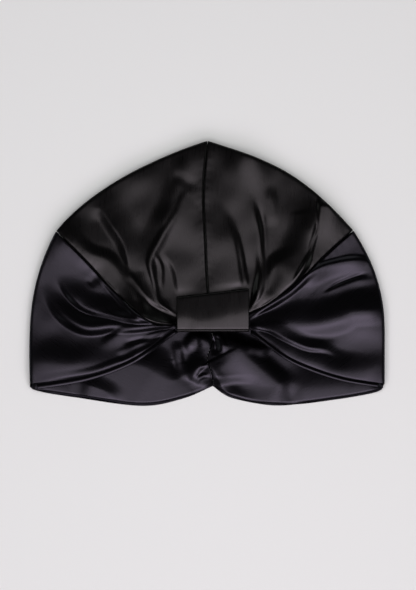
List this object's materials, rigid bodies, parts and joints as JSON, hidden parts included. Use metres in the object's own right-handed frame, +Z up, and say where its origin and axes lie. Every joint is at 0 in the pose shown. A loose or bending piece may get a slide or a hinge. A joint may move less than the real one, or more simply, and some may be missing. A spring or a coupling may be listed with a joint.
{
  "type": "satin bonnet",
  "caption": "Satin sleep bonnet of turban form lying flat: seamed crown, side panels gathered into a front loop, lining edge and a gathered nape.",
  "frame": {"origin": "on the surface that the bonnet lies on, under the middle of its box", "axes": "+X across the bonnet to the right as seen from above, +Y to the peak of the crown, +Z up from the surface"},
  "size_m": [0.3291, 0.2455, 0.0377],
  "materials": {
    "crown_satin": "black satin",
    "side_satin": "black satin",
    "loop_satin": "black satin",
    "lining_satin": "black satin"
  },
  "bodies": {
    "root": {"crown_left": "crown_satin", "crown_right": "crown_satin", "side_left": "side_satin", "side_right": "side_satin", "front_loop": "loop_satin", "lining_edge_left": "lining_satin", "lining_edge_right": "lining_satin"}
  },
  "joints": []
}
